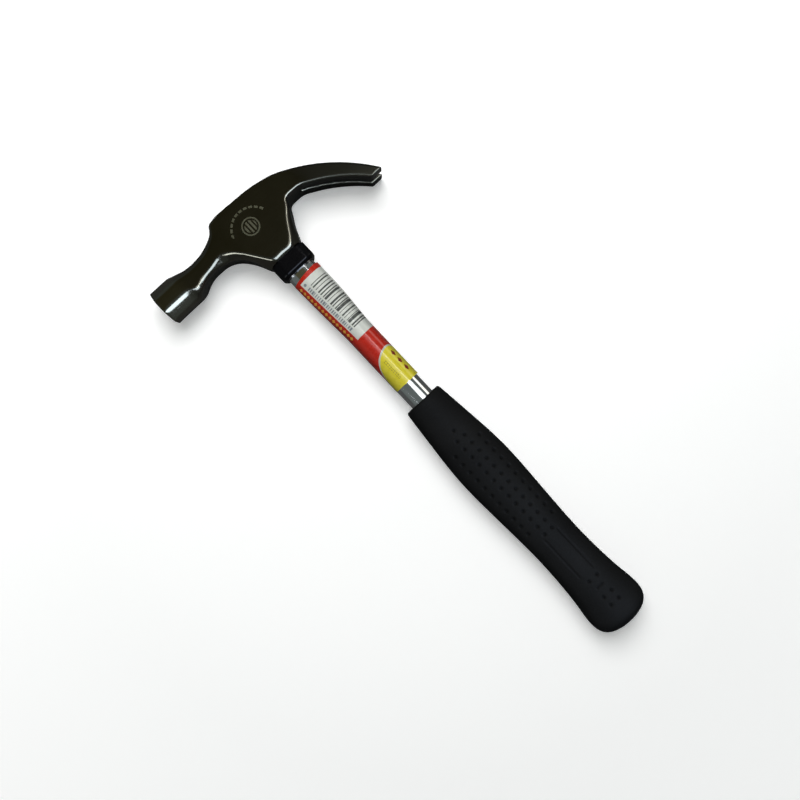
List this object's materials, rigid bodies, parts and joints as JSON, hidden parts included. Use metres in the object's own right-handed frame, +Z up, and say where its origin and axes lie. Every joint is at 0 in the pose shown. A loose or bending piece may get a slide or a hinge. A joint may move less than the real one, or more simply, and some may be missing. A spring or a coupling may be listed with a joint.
{
  "type": "claw hammer",
  "caption": "Claw hammer with a forged steel head, curved claws with a nail slot, an oval-to-round chrome tube handle, a plastic collar, a wrap label and a contoured rubber grip.",
  "frame": {"origin": "on the surface the hammer lies on, in the lower cheek face, straight below where the handle's axis crosses the bell's axis", "axes": "+X along the handle from the head to the butt, +Y from the bell to the claws, +Z up from the surface through the thickness of the head"},
  "size_m": [0.3324, 0.1479, 0.025],
  "materials": {
    "forged_steel": "dark lacquered, polished forging with bright ground edges",
    "chrome_tube": "bright chrome plate",
    "wedge_steel": "plain steel",
    "dowel_wood": "dry hardwood",
    "epoxy": "black epoxy, slightly sunken",
    "collar_plastic": "gloss black moulding",
    "label_film": "glossy printed film, red with white and yellow fields",
    "plug_plastic": "matt black moulding",
    "grip_rubber": "matt black rubber with small dimples"
  },
  "bodies": {
    "root": {"head": "forged_steel", "handle_tube": "chrome_tube", "eye_wedge": "wedge_steel", "shock_dowel": "dowel_wood", "eye_seal": "epoxy", "collar": "collar_plastic", "wrap_label": "label_film", "butt_plug": "plug_plastic", "grip": "grip_rubber"}
  },
  "joints": []
}
